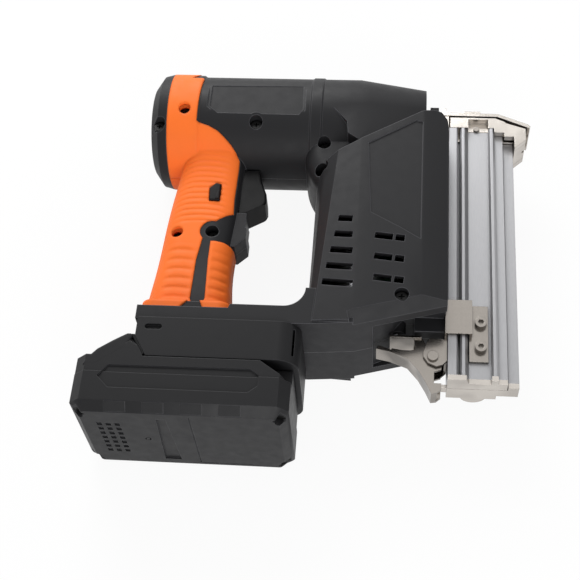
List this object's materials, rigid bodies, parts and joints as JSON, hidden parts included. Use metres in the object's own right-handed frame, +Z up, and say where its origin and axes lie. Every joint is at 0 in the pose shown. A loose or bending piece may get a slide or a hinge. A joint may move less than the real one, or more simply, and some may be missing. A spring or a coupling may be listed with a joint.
{
  "type": "cordless brad nailer",
  "caption": "Cordless brad nailer with a straight slide-cover magazine, soft orange grip, barrel-shaped drive housing and slide-on battery.",
  "frame": {"origin": "on the surface the tool lies on, under the middle of its outline", "axes": "+X the way the brads leave, +Y from the battery to the barrel's top, +Z up; the housing halves meet at z = 36.5 mm"},
  "size_m": [0.25, 0.25, 0.073],
  "materials": {
    "charcoal_housing": "fine textured moulding",
    "orange_grip": "soft matte rubber",
    "black_plastic": "satin moulding",
    "battery_black": "fine textured moulding",
    "screw_steel": "blackened",
    "bright_steel": "nickel plated",
    "tool_steel": "ground",
    "spring_steel": "bright drawn",
    "cast_aluminium": "as cast",
    "magazine_aluminium": "satin extruded",
    "rubber_black": "matte",
    "motor_steel": "plated",
    "board_green": "laminate",
    "cell_wrap": "shrink sleeve",
    "contact_brass": "plated"
  },
  "bodies": {
    "tool": {"housing_right": "charcoal_housing", "housing_left": "charcoal_housing", "rear_grip_right": "orange_grip", "rear_grip_left": "orange_grip", "front_grip_right": "orange_grip", "front_grip_left": "orange_grip", "rear_cap": "charcoal_housing", "rear_cap_screws": "screw_steel", "housing_screws": "screw_steel", "battery_mount": "charcoal_housing", "terminal_block": "black_plastic", "circuit_board": "board_green", "trigger_pin": "tool_steel", "trigger_switch": "battery_black", "cylinder": "tool_steel", "air_chamber": "cast_aluminium", "bumper": "rubber_black", "gear_case": "cast_aluminium", "gear_cover": "cast_aluminium", "lifter_bearings": "tool_steel", "gearbox": "cast_aluminium", "motor_can": "motor_steel", "motor_end_cap": "cast_aluminium", "nose_block": "bright_steel", "nose_cover": "bright_steel", "nose_screw": "bright_steel", "trip_spring": "spring_steel", "trigger_spring": "spring_steel", "magazine_rail": "magazine_aluminium", "rail_end_cap": "bright_steel", "latch_bracket": "bright_steel", "latch_pin": "bright_steel", "latch_spring": "spring_steel", "bracket_screws": "bright_steel", "brad_strip": "tool_steel"},
    "trigger": {"trigger": "black_plastic"},
    "lock": {"lock_switch": "black_plastic"},
    "driver": {"piston": "cast_aluminium", "piston_seal": "rubber_black", "driver_blade": "tool_steel"},
    "lifter": {"lifter_wheel": "tool_steel", "lifter_shaft": "tool_steel", "bevel_gear": "tool_steel"},
    "pinion": {"bevel_pinion": "tool_steel"},
    "rotor": {"rotor": "motor_steel", "cooling_fan": "battery_black"},
    "trip": {"contact_trip": "bright_steel"},
    "wheel": {"depth_wheel": "black_plastic"},
    "slide": {"magazine_slide": "magazine_aluminium", "slide_end_cap": "bright_steel"},
    "pusher": {"brad_pusher": "black_plastic", "pusher_spring": "spring_steel"},
    "lever": {"latch_lever": "bright_steel"},
    "battery": {"battery_case": "battery_black", "battery_cover": "battery_black", "battery_cells": "cell_wrap", "battery_screws": "screw_steel", "battery_terminals": "contact_brass"},
    "button": {"battery_button": "battery_black"}
  },
  "joints": [
    {"name": "trigger_pull", "type": "hinge", "parent": "tool", "child": "trigger", "pos_m": [-0.0535, 0.049, 0.0365], "axis": [0, 0, 1], "range_deg": [-5.5, 0], "stiffness_Nm_per_rad": 0.6, "springref_deg": 5.73, "deforming": ["trigger_spring"]},
    {"name": "lock_push", "type": "slide", "parent": "tool", "child": "lock", "axis": [0, 0, -1], "range_m": [0, 0.003]},
    {"name": "driver_stroke", "type": "slide", "parent": "tool", "child": "driver", "axis": [1, 0, 0], "range_m": [0, 0.048]},
    {"name": "lifter_turn", "type": "hinge", "parent": "tool", "child": "lifter", "pos_m": [0.026, 0.065, 0.0365], "axis": [0, 0, 1], "continuous": true},
    {"name": "pinion_turn", "type": "hinge", "parent": "tool", "child": "pinion", "pos_m": [0.026, 0.039, 0.0365], "axis": [0, 1, 0], "continuous": true},
    {"name": "rotor_turn", "type": "hinge", "parent": "tool", "child": "rotor", "pos_m": [0.026, -0.02, 0.0365], "axis": [0, 1, 0], "continuous": true},
    {"name": "trip_press", "type": "slide", "parent": "tool", "child": "trip", "axis": [-1, 0, 0], "range_m": [0, 0.003], "stiffness_N_per_m": 900, "springref_m": -0.003, "deforming": ["trip_spring"]},
    {"name": "wheel_turn", "type": "hinge", "parent": "trip", "child": "wheel", "pos_m": [0.0664, 0.104, 0.0365], "axis": [1, 0, 0], "continuous": true},
    {"name": "slide_open", "type": "slide", "parent": "tool", "child": "slide", "axis": [0, -1, 0], "range_m": [0, 0.09]},
    {"name": "pusher_travel", "type": "slide", "parent": "slide", "child": "pusher", "axis": [0, -1, 0], "range_m": [0, 0.09], "stiffness_N_per_m": 40, "springref_m": -0.1, "deforming": ["pusher_spring"]},
    {"name": "lever_tip", "type": "hinge", "parent": "tool", "child": "lever", "pos_m": [0.0671, -0.0717, 0.0365], "axis": [0, 0, 1], "range_deg": [-6, 0], "stiffness_Nm_per_rad": 0.8, "springref_deg": 8.59, "deforming": ["latch_spring"]},
    {"name": "battery_slide", "type": "slide", "parent": "tool", "child": "battery", "axis": [-1, 0, 0], "range_m": [0, 0.1]},
    {"name": "button_press", "type": "slide", "parent": "battery", "child": "button", "axis": [0.6289, -0.7775, 0], "range_m": [0, 0.0015], "stiffness_N_per_m": 800, "springref_m": -0.002}
  ],
  "couplings": [
    {"joint": "pinion_turn", "follows": "lifter_turn", "ratio": -3.25},
    {"joint": "rotor_turn", "follows": "lifter_turn", "ratio": -39}
  ]
}
